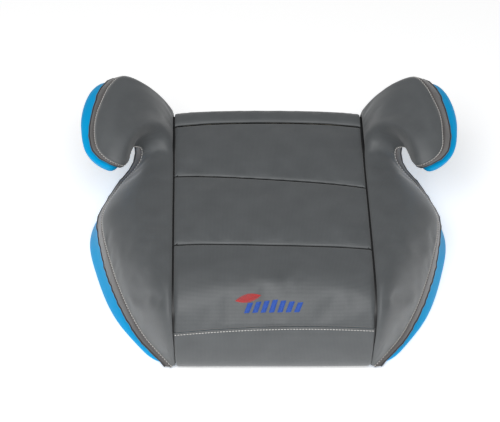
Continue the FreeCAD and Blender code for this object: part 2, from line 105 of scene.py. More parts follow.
# Stations of the side panel, from its front toe round the bolster, the belt slot and the armrest.
# Each row: seam (y, z) at x = SEAM_X, then the panel's outer edge, the hem below it,
# and the two handles that shape the cloth between the seam and the edge.
STATIONS = [
    ((-169, 7), (114, -169, 6), (124, -166, 4), (1, 0, 0), (-1, 0, 0)),
    ((-170, 32), (125, -161, 14), (133, -158, 9), (8, -1, 1), (-5, -5, 6)),
    ((-168, 58), (145, -140, 25), (151, -139, 15), (12, -3, 3), (-8, -7, 9)),
    ((-157, 80), (159, -118, 34), (165, -115, 20), (18, -4, 6), (-10, -8, 13)),
    ((-135, 93), (169, -98, 42), (176, -92, 25), (22, -1, 8), (-10, -8, 19)),
    ((-105, 98), (179, -72, 50), (184, -70, 28), (26, 0, 9), (-9, -6, 24)),
    ((-70, 99), (187, -46, 58), (192, -45, 31), (28, 0, 9), (-8, -4, 24)),
    ((-35, 99), (194, -18, 64), (198, -16, 34), (28, 0, 9), (-8, -2, 24)),
    ((0, 98), (197, 8, 68), (203, 12, 38), (28, 0, 9), (-10, 0, 24)),
    ((28, 98), (193, 28, 70), (204, 34, 44), (28, 0, 8), (-12, 0, 20)),
    ((52, 98), (183, 50, 72), (190, 56, 61), (26, 0, 7), (-12, 0, 16)),
    ((70, 98), (172, 68, 75), (178, 74, 70), (22, 0, 6), (-12, 0, 13)),
    ((84, 99), (160, 83, 80), (167, 91, 73), (17, 0, 6), (-9, 2, 12)),
    ((94, 100), (152, 93, 89), (161, 103, 83), (14, -1, 7), (-6, 4, 10)),
    ((102, 101), (152, 96, 101), (162, 106, 101), (14, -3, 14), (-5, 6, 8)),
    ((109, 101), (161, 87, 112), (171, 93, 107), (16, -6, 28), (-6, 10, 10)),
    ((115, 101), (164, 68, 118), (172, 71, 111), (20, -10, 42), (-6, 14, 20)),
    ((120, 101), (166, 48, 124), (173, 52, 114), (24, -14, 52), (-3, 22, 24)),
    ((124, 101), (171, 31, 134), (177, 36, 125), (28, -14, 58), (-2, 30, 26)),
    ((129, 101), (185, 33, 140), (191, 38, 130), (32, -10, 62), (-8, 32, 22)),
    ((134, 101), (198, 45, 144), (206, 50, 133), (34, -6, 64), (-18, 28, 18)),
    ((139, 101), (203, 68, 150), (213, 72, 139), (34, -2, 64), (-24, 18, 18)),
    ((144, 101), (202, 92, 156), (212, 96, 145), (32, 2, 62), (-24, 10, 18)),
    ((150, 101), (195, 116, 162), (208, 119, 151), (29, 4, 57), (-22, 4, 14)),
    ((157, 100), (188, 134, 166), (203, 140, 154), (25, 4, 50), (-18, 0, 10)),
    ((162, 100), (179, 149, 167), (193, 157, 155), (21, 4, 41), (-14, -4, 6)),
    ((166, 97), (171, 162, 158), (184, 168, 147), (17, 3, 30), (-10, -4, 4)),
    ((169, 88), (165, 169, 140), (176, 172, 132), (14, 1, 18), (-10, -1, 2)),
    ((170, 72), (161, 171, 114), (169, 172, 110), (14, 0, 7), (-12, 0, 0)),
    ((170, 55), (156, 171, 84), (165, 171, 82), (14, 0, 2), (-12, 0, 0)),
    ((170, 38), (150, 170, 44), (159, 168, 42), (12, 0, 0), (-12, 0, 0)),
]

# How far the sewn edge lies beyond its station: (numbers of stations, distances there). Cut and sewn
# by hand, the left armrest's edge came out further down than the right one's.
EDGE_SHIFTS = {
    "right": ([0, 16, 17, 19, 20, 21, 24, 26, 30], [0, 0, 3.5, 1.5, -0.5, -3.5, -3.0, 0, 0]),
    "left": ([0, 16, 17, 19, 20, 21, 24, 26, 30], [0, 0, 5.0, 4.5, 3.0, 3.5, 3.0, 0, 0]),
}

# The seat surface in one line from the back hem over the top to the tucked front flap: (y, z)
CENTRE_LINE = [(171, 34), (172, 60), (172.6, 84), (171, 96), (165, 102), (153, 103.5), (141, 102.5),
               (130, 102), (90, 102), (52, 101.5), (29, 101.5), (-15, 102), (-59, 102), (-82, 101.5),
               (-118, 99), (-148, 86), (-165, 64), (-170.5, 45), (-173.2, 26), (-172.4, 13),
               (-168.5, 6), (-161, 3.6), (-152, 3.3), (-142, 3.4)]

# The centre panels: node, the (y, z) where it starts, how far that seam runs forward at the
# left, in the middle and at the right, and (length, depth) of the roll into its rear and front seam.
CENTRE_PANELS = [
    ("cover_rear_apron", (171, 34), (0, 0, 0), (2, 1.0), (4, 2.5)),
    ("cover_rear_strip", (171, 97), (0, 0, 0), (5, 2.8), (8, 3.0)),
    ("cover_back_panel", (141, 102.5), (0.5, -2.6, 0.5), (4.5, 2.4), (11, 3.4)),
    ("cover_middle_panel", (40, 101.5), (-11.0, -3.2, 8.5), (4.5, 2.4), (12, 3.8)),
    ("cover_front_panel", (-70, 101.8), (-4.5, -1.6, 2.0), (4.5, 2.4), (2.2, 0.9)),
    ("cover_front_apron", (-165, 64), (6.0, -2.0, 0.5), (2.2, 0.9), (2, 0.6)),
]
LINE_END = (-142, 3.4)    # where the last panel ends
LINE_SAMPLES = 4000       # points along the line among which a seam's place is looked up

# (length, depth) of the centre panels' rolls into the side seams, and the shallower ones
CENTRE_ROLL = (7, 4.2)
SIDE_ROLLS = {"cover_rear_apron": (3, 1.0), "cover_rear_strip": (4, 1.5), "cover_front_apron": (4, 1.8)}

# The embroidery: a leaf and bars over a line that lies this far back from the topstitched seam
MOTIF_UP = 18.6
LEAF_ROWS = 34
LEAF_LEFT = -43.0
LEAF_LENGTH = 27.0
LEAF_HALF = 4.6           # half the leaf's width at its middle
LEAF_UP = 14.5            # the leaf's middle lies this far above the line
LEAF_LEAN = 3.0           # and its left end this much lower than that, its right end as much higher
LEAF_SLANT = 1.5          # each thread of the leaf leans by this much to both sides
BAR_COUNT = 7
BAR_LEFT = -34.4
BAR_PITCH = 9.3
BAR_WIDTH = 6.2
BAR_TALL = 14.0           # height of the middle bar
BAR_DROP = 3.0            # the outermost bars are this much shorter
BAR_LEAN = 4.5            # a bar's top lies this much further right than its foot
BAR_FOOT = 2.0            # the bars reach this far below their line
SATIN_PITCH = 0.5
SATIN_HALF = 0.27         # half a thread's thickness
SATIN_SUNK = 0.25         # a thread's ends lie this deep in the cloth
THREAD_TILT = 0.4         # a bar's threads rise by this much towards the right

FOAM_VOXEL = 3.0
FOAM_SMOOTHING = (0.6, 8)           # factor and rounds

CAMERA_ANGLES = (-2.34, 43.0, 1.64)     # azimuth, elevation and roll, in degrees
CAMERA_AIM = (-24.4, 0.0, 89.1)
CAMERA_DISTANCE = 2351
CAMERA_LENS = 145.5                     # with a sensor 36 mm wide
FLOOR_HALF = 6000


# ------------------------------------------------------------------ grids of points

def bezier(start, first, second, end, share):
    """Points of a cubic curve; share is a column of numbers from 0 to 1."""
    rest = 1 - share
    return (rest ** 3 * start + 3 * rest ** 2 * share * first + 3 * rest * share ** 2 * second
            + share ** 3 * end)


def lengths(line):
    """How far each point of a line is along it."""
    return np.concatenate([[0.0], np.cumsum(np.linalg.norm(np.diff(line, axis=0), axis=1))])


def places(grid):
    """How far each row of the grid is along it, as the columns' mean."""
    steps = np.linalg.norm(np.diff(grid, axis=0), axis=2).mean(axis=1)
    return np.concatenate([[0.0], np.cumsum(steps)])


def at_places(grid, place, wanted):
    """Rows of the smooth surface through the grid at the wanted distances along it."""
    slope = np.gradient(grid, place, axis=0)
    left = np.clip(np.searchsorted(place, wanted, side="right") - 1, 0, len(place) - 2)
    gap = place[left + 1] - place[left]
    shape = gap.shape + (1,) * (grid.ndim - 1)
    t = ((wanted - place[left]) / gap).reshape(shape)
    gap = gap.reshape(shape)
    return ((2 * t ** 3 - 3 * t ** 2 + 1) * grid[left] + (t ** 3 - 2 * t ** 2 + t) * gap * slope[left]
            + (3 * t ** 2 - 2 * t ** 3) * grid[left + 1] + (t ** 3 - t ** 2) * gap * slope[left + 1])


def normals(grid):
    """The way out of the cloth at each point of the grid."""
    n = np.cross(np.gradient(grid, axis=1), np.gradient(grid, axis=0))
    return n / np.maximum(np.linalg.norm(n, axis=2, keepdims=True), 1e-9)


def runs(grid, axis):
    """Each point's distance from the grid's first border and from its last, along an axis."""
    steps = np.linalg.norm(np.diff(grid, axis=axis), axis=2)
    ahead = np.cumsum(steps, axis=axis)
    zero = np.zeros_like(np.take(ahead, [0], axis=axis))
    ahead = np.concatenate([zero, ahead], axis=axis)
    total = np.take(ahead, [-1], axis=axis)
    return ahead, total - ahead


def border_runs(grid):
    """Distances from the first row, the last row, the first column and the last column."""
    return [*runs(grid, 0), *runs(grid, 1)]


def spread(length, step, fine=(0.0, 0.35, 0.9, 1.7, 2.8, 4.2, 6.0)):
    """Distances from 0 to length, close together at both ends and about a step apart between."""
    count = max(2, round((length - 2 * fine[-1]) / step))
    middle = np.linspace(fine[-1], length - fine[-1], count + 1)[1:-1]
    return np.concatenate([fine, middle, length - np.array(fine[::-1])])


def rolled(grid, rolls):
    """The grid with its borders rolled down into their seams: (length, depth) for each border."""
    depth = np.zeros(grid.shape[:2])
    for distance, (length, deep) in zip(border_runs(grid), rolls):
        near = np.clip(1 - distance / length, 0, 1)
        depth = np.maximum(depth, deep * (1 - np.sqrt(1 - near ** 2)))
    return grid - normals(grid) * depth[..., None]


def mirrored(grid):
    """The left half's grid: mirrored, with its columns reversed so that it still faces outwards."""
    return (grid * np.array([-1.0, 1.0, 1.0]))[:, ::-1]


# ------------------------------------------------------------------ meshes

def placed(name, data):
    """A new object in the scene."""
    thing = bpy.data.objects.new(name, data)
    bpy.context.scene.collection.objects.link(thing)
    return thing


def add_object(name, points, faces, node=None, slot=None, uv=None, material=None):
    """A smooth mesh piece, with the CAD node it replaces, its slot (not used), its cloth's place and its
    finish.
    """
    mesh = bpy.data.meshes.new(name)
    mesh.from_pydata((np.asarray(points) * MM).tolist(), [], faces)
    mesh.polygons.foreach_set("use_smooth", [True] * len(mesh.polygons))
    if uv is not None:
        corners = np.empty(len(mesh.loops), dtype=int)
        mesh.loops.foreach_get("vertex_index", corners)
        mesh.uv_layers.new(name="cloth").data.foreach_set("uv", (uv[corners] * MM).ravel())
    mesh.update()
    piece = placed(name, mesh)
    if node:
        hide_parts(node)
    if material:
        paint(piece, material)
    return piece


def quads(rows, columns, offset=0, flip=False):
    """Faces between the points of a grid whose first point has the number offset."""
    faces = []
    for i in range(rows - 1):
        for j in range(columns - 1):
            a = offset + i * columns + j
            face = (a, a + 1, a + columns + 1, a + columns)
            faces.append(face[::-1] if flip else face)
    return faces


def closed_sheet(name, outer, thick, uv, **facts):
    """A closed mesh with the outer grid and the same grid moved in by the cloth's thickness."""
    rows, columns = outer.shape[:2]
    inner = outer - normals(outer) * thick
    count = rows * columns
    faces = quads(rows, columns) + quads(rows, columns, count, True)
    ring = list(range(columns))
    ring += [i * columns + columns - 1 for i in range(1, rows)]
    ring += [(rows - 1) * columns + j for j in range(columns - 2, -1, -1)]
    ring += [i * columns for i in range(rows - 2, 0, -1)]
    for a, b in zip(ring, ring[1:] + ring[:1]):
        faces.append((a, a + count, b + count, b))
    points = np.concatenate([outer.reshape(-1, 3), inner.reshape(-1, 3)])
    flat = uv.reshape(-1, 2)
    return add_object(name, points, faces, uv=np.concatenate([flat, flat]), **facts)


def tube(path, along, up, half_width, half_height, sides):
    """Points and faces of a closed tube: an ellipse carried along the path, closed at both ends."""
    side = np.cross(along, up)
    side /= np.linalg.norm(side, axis=1, keepdims=True)
    up = np.cross(side, along)
    rows = len(path)
    wide = np.broadcast_to(half_width, rows)[:, None]
    high = np.broadcast_to(half_height, rows)[:, None]
    points = []
    for k in range(sides):
        angle = 2 * math.pi * k / sides
        points.append(path + side * (wide * math.cos(angle)) + up * (high * math.sin(angle)))
    points = np.stack(points, axis=1)
    faces = []
    for i in range(rows - 1):
        for k in range(sides):
            a = i * sides + k
            b = i * sides + (k + 1) % sides
            faces.append((a, b, b + sides, a + sides))
    faces.append(tuple(range(sides))[::-1])
    faces.append(tuple((rows - 1) * sides + k for k in range(sides)))
    return points.reshape(-1, 3), faces


def joined(parts):
    """Several (points, faces) as one."""
    points, faces, offset = [], [], 0
    for some_points, some_faces in parts:
        points.append(some_points)
        faces += [tuple(v + offset for v in face) for face in some_faces]
        offset += len(some_points)
    return np.concatenate(points), faces


def directions(path):
    """The way along a path at each of its points."""
    d = np.gradient(path, axis=0)
    return d / np.maximum(np.linalg.norm(d, axis=1, keepdims=True), 1e-9)


def stitch_row(path, up):
    """Stitches of thread along a path on the cloth, each with its two ends sunk into it."""
    place = lengths(path)
    pitch = STITCH_LENGTH + STITCH_GAP
    count = int(place[-1] // pitch)
    rise = np.array(THREAD_RISE)[:, None]
    half = np.array(THREAD_FULL) * STITCH_WIDTH / 2
    stitches = []
    for k in range(count):
        start = (place[-1] - count * pitch) / 2 + k * pitch
        wanted = start + np.linspace(0, STITCH_LENGTH, len(rise))
        points = at_places(path, place, wanted)
        top = at_places(up, place, wanted)
        stitches.append(tube(points + top * rise, directions(points), top, half, half * 0.7, 8))
    return joined(stitches)


# ------------------------------------------------------------------ cloth simulation

def puffed(grid, held):
    """The grid after its cloth has been blown out a little from inside, its borders held."""
    rows, columns = grid.shape[:2]
    cloth = add_object("simulated_cloth", grid.reshape(-1, 3), quads(rows, columns))
    group = cloth.vertex_groups.new(name="held")
    nearest = np.min(border_runs(grid), axis=0).ravel()
    group.add(np.nonzero(nearest < held)[0].tolist(), 1.0, "REPLACE")
    sim = cloth.modifiers.new("cloth", "CLOTH")
    sim.settings.vertex_group_mass = "held"
    sim.settings.use_pressure = True
    sim.settings.uniform_pressure_force = PRESSURE
    sim.settings.mass = 0.25
    sim.settings.tension_stiffness = 30
    sim.settings.compression_stiffness = 30
    sim.settings.shear_stiffness = 12
    sim.settings.bending_stiffness = 4.0
    sim.settings.shrink_min = -LOOSENESS
    sim.settings.quality = 6
    sim.settings.effector_weights.gravity = 0
    sim.collision_settings.use_collision = False
    sim.collision_settings.use_self_collision = False
    scene = bpy.context.scene
    sim.point_cache.frame_start = 1
    sim.point_cache.frame_end = PUFF_FRAMES
    for number in range(1, PUFF_FRAMES + 1):
        scene.frame_set(number)
    result = cloth.evaluated_get(bpy.context.evaluated_depsgraph_get()).to_mesh()
    moved = np.empty(rows * columns * 3)
    result.vertices.foreach_get("co", moved)
    scene.frame_set(1)
    bpy.data.objects.remove(cloth)
    shift = moved.reshape(rows, columns, 3) / MM - grid
    size = np.linalg.norm(shift, axis=2, keepdims=True)
    return grid + shift * np.minimum(1.0, PUFF_LIMIT / np.maximum(size, 1e-9))


# ------------------------------------------------------------------ the side of the cover

def toe_in(y, z):
    """How far the side seams have run inwards at a place on the front."""
    return TOE_IN * np.where(y < FRONT_Y, np.clip((TOE_TOP - z) / TOE_LENGTH, 0, 1), 0)


def side_lines():
    """Right side: a line of cloth for each station, from the seam over the edge to the hem."""
    share = (1 - np.cos(np.linspace(0, math.pi, EDGE_STEPS + 1)))[:, None] / 2
    lines = []
    for seam, edge, hem, leave, arrive in STATIONS:
        start = np.array((SEAM_X + SEAM_GAP / 2 - toe_in(*seam), *seam), float)
        end = np.array(edge, float)
        cloth = bezier(start, start + leave, end + arrive, end, share)
        band = np.linspace(end, np.array(hem, float), HEM_STEPS + 1)
        lines.append(np.concatenate([cloth, band[1:]]))
    return np.array(lines)


def between(lines, first, last, shares):
    """Each line from its first to its last distance, at the given shares of the way."""
    return np.array([at_places(line, lengths(line), a + (b - a) * shares)
                     for line, a, b in zip(lines, first, last)])


def cloth_uv(grid):
    """Where each point of a side panel lies in the cloth: across from the seam, and lengthways.

    The weave runs on over the armrest and turns down with the front slope.
    """
    across = runs(grid, 1)[0]
    y, z = grid[..., 1], grid[..., 2]
    front = np.clip((-60 - y) / 70, 0, 1)
    length = y + 0.7 * np.maximum(z - 100, 0) + front * np.minimum(z - 98, 0)
    return np.stack([across + SEAM_X, length], axis=2)


def edge_path(grid, inset):
    """The line on a side panel at a distance in from its edge, and the way up from the cloth."""
    up = normals(grid)
    _, from_edge = runs(grid, 1)
    path, top = [], []
    for row, row_up, distance in zip(grid, up, from_edge):
        k = np.searchsorted(-distance, -inset)
        t = (distance[k - 1] - inset) / (distance[k - 1] - distance[k])
        path.append(row[k - 1] * (1 - t) + row[k] * t)
        top.append(row_up[k - 1] * (1 - t) + row_up[k] * t)
    return np.array(path), np.array(top)


def gathered(grid):
    """The gusset's cloth drawn together by the elastic: small folds that grow towards the hem."""
    place = places(grid)[:, None]
    share = np.linspace(0, 1, grid.shape[1])[None, :]
    fold = sum(np.sin(place / length + start) * height for length, start, height in BAND_FOLDS)
    bow = BAND_BOW * np.sin(math.pi * share)
    return grid + normals(grid) * (fold * share ** 1.5 + bow)[..., None]


def side_grids(side):
    """Grids of one side as if it were the right one: the cut cloth, the sewn panel and the gusset."""
    lines = side_lines()
    place = places(lines)
    wanted = spread(place[-1], SIDE_STEP)
    rows = at_places(lines, place, wanted)
    stations, shifts = EDGE_SHIFTS[side]
    shift = np.interp(wanted, place[stations], shifts)
    edge = np.array([lengths(row)[EDGE_STEPS] for row in rows]) + EDGE_OVER + shift
    end = np.array([lengths(row)[-1] for row in rows])
    edge = np.minimum(edge, end - BAND_LEAST)
    span = spread(float(edge.mean()), SIDE_STEP)
    flat = between(rows, np.zeros_like(edge), edge, span / span[-1])
    level = np.clip(normals(flat)[:, :1, 2], 0, 1)
    level = level * np.clip((LEVEL_END - flat[:, :1, 1]) / LEVEL_FADE, 0, 1)
    seam_length, seam_depth = SEAM_ROLL
    seam_roll = (seam_length, seam_depth + LEVEL_ROLL * level)
    shaped = rolled(flat, [END_ROLL, END_ROLL, seam_roll, EDGE_ROLL])
    band_end = np.maximum(end - HEM_BACK, edge + BAND_SHOWN)
    band = gathered(between(rows, edge - BAND_UNDER, band_end, np.linspace(0, 1, BAND_COLUMNS)))
    band[:, 0] -= normals(band)[:, 0] * BAND_SUNK
    return flat, shaped, band


def build_side(side):
    """One side of the cover: panel, gusset, hem elastic, topstitch and the tape under its seam, painted
    near black as the seam's shade.
    """
    flat, shaped, band = side_grids(side)
    panel = puffed(shaped, SIDE_HELD)
    path, up = edge_path(panel, EDGE_STITCH_IN)
    dip = np.exp(-((runs(panel, 1)[1] - EDGE_STITCH_IN) / DIP_WIDTH) ** 2)
    panel = panel - normals(panel) * (DIP_DEPTH * dip)[..., None]
    uv = cloth_uv(flat)
    along_band = np.repeat(places(band)[:, None], band.shape[1], axis=1)
    band_uv = np.stack([runs(band, 1)[0], along_band], axis=2)
    hem_up = normals(band)[:, -1]
    bead_proud, bead_wide, bead_high = HEM_BEAD
    hem = band[:, -1] + hem_up * bead_proud
    seam_up = normals(flat)[:, 0] * np.array([0.0, 1.0, 1.0])
    seam_up /= np.linalg.norm(seam_up, axis=1, keepdims=True)
    tape_deep, tape_wide, tape_high = SIDE_TAPE
    seam = flat[:, 0] - seam_up * tape_deep
    if side == "left":
        flip = np.array([-1.0, 1.0, 1.0])
        panel, band = mirrored(panel), mirrored(band)
        uv, band_uv = uv[:, ::-1], band_uv[:, ::-1]
        path, up, hem, hem_up, seam, seam_up = (a * flip for a in (path, up, hem, hem_up, seam, seam_up))

    cloth = closed_sheet(f"{side}_side_panel_cloth", panel, CLOTH_THICK, uv,
                         node=f"{side}_side_panel", slot="cover_cloth", material=CLOTH)
    strip = closed_sheet(f"{side}_gusset_band", band, BAND_THICK, band_uv,
                         node=f"{side}_gusset", slot="gusset_cloth", material=BAND_CLOTH)
    points, faces = tube(hem, directions(hem), hem_up, bead_wide, bead_high, 12)
    bead = add_object(f"{side}_hem_bead", points, faces, node=f"{side}_hem_elastic", slot="elastic",
                      material=ELASTIC)
    points, faces = stitch_row(path, up)
    thread = add_object(f"{side}_edge_topstitch", points, faces, slot="embroidery_thread",
                        material=WHITE_THREAD)
    # The tape is near black as painted shade: it stands for the shadow deep in the seam's groove.
    points, faces = tube(seam, directions(seam), seam_up, tape_wide, tape_high, 8)
    tape = add_object(f"{side}_seam_allowance_painted_shade", points, faces, slot="cover_cloth", material=SEAM_SHADE_CLOTH)
    return [cloth, strip, bead, thread, tape]


# ------------------------------------------------------------------ the centre of the cover

def centre_surface():
    """The whole seat surface as one grid: rows from the back hem to the front flap."""
    line = np.array(CENTRE_LINE, float)
    across = (spread(2 * SEAM_X - SEAM_GAP, CENTRE_STEP) + SEAM_GAP / 2) / SEAM_X - 1
    y, z = line[:, :1], line[:, 1:]
    bow = REAR_BOW * np.maximum(0, y - BOW_FROM) / BOW_LENGTH * across ** 2
    drop = CENTRE_CROWN * across ** 4 * np.where(z > TOP_Z, 1.0, CROWN_BELOW)
    back = np.where(y < FRONT_Y, FRONT_BOW * across ** 4, 0.0)
    x = across * (SEAM_X - toe_in(y, z))
    return np.stack([x, y - bow + back, z - drop], axis=2), across


def centre_panels():
    """The panels' grids, cut from the seat surface and rolled into their seams, and their cloth's place."""
    base, across = centre_surface()
    middle = np.array(CENTRE_LINE, float)
    along = lengths(middle)
    reach = np.linspace(0, along[-1], LINE_SAMPLES)
    fine = at_places(middle, along, reach)

    def seam_at(point, sway):
        """How far along the line a seam lies, for each column."""
        here = reach[np.argmin(np.linalg.norm(fine - np.array(point), axis=1))]
        left, centre, right = sway
        bend = (left + right) / 2 - centre
        return here + centre + (right - left) / 2 * across + bend * across ** 2

    starts = [seam_at(point, sway) for _, point, sway, _, _ in CENTRE_PANELS]
    starts.append(seam_at(LINE_END, (0, 0, 0)))
    panels = {}
    for k, (node, _, _, rear, front) in enumerate(CENTRE_PANELS):
        rear_gap = THREAD_GAP if node == "cover_front_apron" else CROSS_GAP / 2
        front_gap = THREAD_GAP if node == "cover_front_panel" else CROSS_GAP / 2
        first, last = starts[k] + rear_gap, starts[k + 1] - front_gap
        share = spread(float((last - first).mean()), CENTRE_STEP)
        share = share / share[-1]
        grid = np.empty((len(share), len(across), 3))
        for j in range(len(across)):
            column = base[:, j:j + 1]
            grid[:, j] = at_places(column, along, first[j] + (last[j] - first[j]) * share)[:, 0]
        grid = grid[:, ::-1]
        side = SIDE_ROLLS.get(node, CENTRE_ROLL)
        shaped = rolled(grid, [rear, front, side, side])
        length = np.broadcast_to((first + (last - first) * share[:, None])[:, ::-1], grid.shape[:2])
        uv = np.stack([grid[..., 0], -length], axis=2)
        panels[node] = (shaped, uv)
    return panels


def build_centre():
    """The centre panels, the tapes under the seams between them, painted near black as the seams' shade,
    and the front topstitch.
    """
    pieces = []
    grids = {}
    flaps = {"cover_rear_apron": (0.226, 0.075), "cover_front_apron": (0.226, 0.095)}
    for node, (grid, uv) in centre_panels().items():
        if node not in flaps:
            grid = puffed(grid, CENTRE_HELD)
        grids[node] = grid
        thick = BAND_THICK if node in flaps else CLOTH_THICK
        piece = closed_sheet(f"{node}_cloth", grid, thick, uv, node=node, slot="cover_cloth",
                             material=CLOTH)
        pieces.append(piece)
    deep, wide, high = CROSS_TAPE
    for node in ("cover_rear_strip", "cover_back_panel", "cover_middle_panel", "cover_front_panel"):
        grid = grids[node]
        up = normals(grid)[FLAT_ROW]
        path = grid[0] + np.cross(directions(grid[0]), up) * CROSS_GAP / 2 - up * deep
        # The tape is near black as painted shade: it stands for the shadow deep in the groove between the
        # panels.
        points, faces = tube(path, directions(path), up, wide, high, 8)
        tape = add_object(f"{node}_seam_allowance_painted_shade", points, faces, slot="cover_cloth",
                          material=SEAM_SHADE_CLOTH)
        pieces.append(tape)
    apron = grids["cover_front_apron"]
    up = normals(apron)
    points, faces = stitch_row(apron[FRONT_STITCH_ROW, ::-1], up[FRONT_STITCH_ROW, ::-1])
    thread = add_object("front_topstitch", points, faces, slot="embroidery_thread",
                        material=WHITE_THREAD)
    pieces.append(thread)
    return pieces, grids


# ------------------------------------------------------------------ foam and embroidery

def build_foam():
    """The three foam pieces, softened: remeshed from their CAD shapes and smoothed."""
    factor, rounds = FOAM_SMOOTHING
    pieces = []
    for node in ("seat_foam", "left_side_foam", "right_side_foam"):
        pad = placed(f"{node}_pad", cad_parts[node].data.copy())
        remesh = pad.modifiers.new("remesh", "REMESH")
        remesh.mode = "VOXEL"
        remesh.voxel_size = FOAM_VOXEL * MM
        smooth = pad.modifiers.new("smooth", "SMOOTH")
        smooth.factor = factor
        smooth.iterations = rounds
        graph = bpy.context.evaluated_depsgraph_get()
        mesh = bpy.data.meshes.new_from_object(pad.evaluated_get(graph))
        pad.modifiers.clear()
        pad.data = mesh
        mesh.polygons.foreach_set("use_smooth", [True] * len(mesh.polygons))
        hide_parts(node)
        paint(pad, FOAM)
        pieces.append(pad)
    return pieces


def on_grid(grid, across, along):
    """Point and normal of a panel's surface at shares across and along it."""
    up = normals(grid)
    rows, columns = grid.shape[:2]
    x = grid[rows // 2, :, 0]
    length = runs(grid, 0)[0][:, columns // 2]
    i = float(np.interp(along, length, np.arange(rows)))
    j = float(np.interp(-across, -x, np.arange(columns)))
    i0, j0 = min(int(i), rows - 2), min(int(j), columns - 2)
    u, v = i - i0, j - j0

    def mix(a):
        return ((a[i0, j0] * (1 - v) + a[i0, j0 + 1] * v) * (1 - u)
                + (a[i0 + 1, j0] * (1 - v) + a[i0 + 1, j0 + 1] * v) * u)

    return mix(grid), mix(up)


def satin(grid, starts, ends, height):
    """Satin stitch: side by side threads that arch from one edge of a shape to the other."""
    threads = []
    share = np.linspace(0, 1, 7)
    arch = height * np.sqrt(np.maximum(0, 1 - (2 * share - 1) ** 2)) - SATIN_SUNK
    for (x0, s0), (x1, s1) in zip(starts, ends):
        line = [on_grid(grid, x0 + (x1 - x0) * t, s0 + (s1 - s0) * t) for t in share]
        path = np.array([point for point, _ in line])
        up = np.array([top for _, top in line])
        threads.append(tube(path + up * arch[:, None], directions(path), up, SATIN_HALF, SATIN_HALF, 6))
    return joined(threads)


def build_leaf(grid, low):
    """Threads across a pointed leaf; low is the line that the motif is measured up from."""
    starts, ends = [], []
    for k in range(LEAF_ROWS):
        t = (k + 0.5) / LEAF_ROWS
        x = LEAF_LEFT + LEAF_LENGTH * t
        half = LEAF_HALF * math.sin(math.pi * t) ** 0.8
        lean = LEAF_LEAN * (1 - 2 * t)
        starts.append((x - LEAF_SLANT, low - LEAF_UP + lean - half))
        ends.append((x + LEAF_SLANT, low - LEAF_UP + lean + half))
    return satin(grid, starts, ends, 1.1)


def build_bar(grid, low, bar):
    """Threads across one slanted bar."""
    left = BAR_LEFT + bar * BAR_PITCH
    middle = (BAR_COUNT - 1) // 2
    tall = BAR_TALL - BAR_DROP * abs(bar - middle) / middle
    rows = int(tall / SATIN_PITCH)
    starts, ends = [], []
    for k in range(rows):
        s = low - tall * (k + 0.5) / rows + BAR_FOOT
        lean = BAR_LEAN * (k + 0.5) / rows
        starts.append((left + lean, s))
        ends.append((left + lean + BAR_WIDTH, s - THREAD_TILT))
    return satin(grid, starts, ends, 1.0)


def build_motif(grid):
    """A plain leaf and a row of slanted bars, in satin stitch on the front panel."""
    length = runs(grid, 0)[0][:, grid.shape[1] // 2][-1]
    low = length - MOTIF_UP
    points, faces = build_leaf(grid, low)
    leaf = add_object("embroidered_leaf", points, faces, node="embroidered_motif",
                      slot="embroidery_thread", material=RED_THREAD)
    points, faces = joined([build_bar(grid, low, bar) for bar in range(BAR_COUNT)])
    bars = add_object("embroidered_bars", points, faces, slot="embroidery_thread",
                      material=BLUE_THREAD)
    return [leaf, bars]


# ------------------------------------------------------------------ materials

def new_material(name):
    """A material with its node tree and shader."""
    material = bpy.data.materials.new(name)
    material.use_nodes = True
    tree = material.node_tree
    return material, tree, tree.nodes["Principled BSDF"]


def coordinates(tree, scale, cloth):
    """The cloth's own coordinates, or the object's, times a scale."""
    if cloth:
        source = tree.nodes.new("ShaderNodeUVMap")
        source.uv_map = "cloth"
        output = source.outputs["UV"]
    else:
        source = tree.nodes.new("ShaderNodeTexCoord")
        output = source.outputs["Object"]
    mapping = tree.nodes.new("ShaderNodeMapping")
    mapping.inputs["Scale"].default_value = scale
    tree.links.new(output, mapping.inputs["Vector"])
    return mapping.outputs["Vector"]


def noise(tree, vector, scale, detail=2.0):
    node = tree.nodes.new("ShaderNodeTexNoise")
    node.inputs["Scale"].default_value = scale
    node.inputs["Detail"].default_value = detail
    tree.links.new(vector, node.inputs["Vector"])
    return node.outputs["Fac"]


def wave(tree, vector, direction, distortion):
    """Soft bands, one for each 2 pi of the coordinate."""
    node = tree.nodes.new("ShaderNodeTexWave")
    node.bands_direction = direction
    node.inputs["Scale"].default_value = 1 / 20
    node.inputs["Distortion"].default_value = distortion
    node.inputs["Detail"].default_value = 1.0
    tree.links.new(vector, node.inputs["Vector"])
    return node.outputs["Fac"]


def math_node(tree, operation, a, b):
    """Two values, each a number or a socket, put through one operation."""
    node = tree.nodes.new("ShaderNodeMath")
    node.operation = operation
    for socket, value in zip(node.inputs, (a, b)):
        if isinstance(value, (int, float)):
            socket.default_value = value
        else:
            tree.links.new(value, socket)
    return node.outputs["Value"]


def times(tree, a, b):
    return math_node(tree, "MULTIPLY", a, b)


def plus(tree, a, b):
    return math_node(tree, "ADD", a, b)


def ramp(tree, factor, stops):
    """Colours that run from one (place, colour) stop to the next."""
    node = tree.nodes.new("ShaderNodeValToRGB")
    while len(node.color_ramp.elements) < len(stops):
        node.color_ramp.elements.new(0.5)
    for element, (place, colour) in zip(node.color_ramp.elements, stops):
        element.position = place
        element.color = (*colour, 1.0)
    tree.links.new(factor, node.inputs["Fac"])
    return node.outputs["Color"]


def bump(tree, shader, height, distance):
    """Relief in the shading, up to distance high."""
    node = tree.nodes.new("ShaderNodeBump")
    node.inputs["Distance"].default_value = distance * MM
    node.inputs["Strength"].default_value = 1.0
    tree.links.new(height, node.inputs["Height"])
    tree.links.new(node.outputs["Normal"], shader.inputs["Normal"])


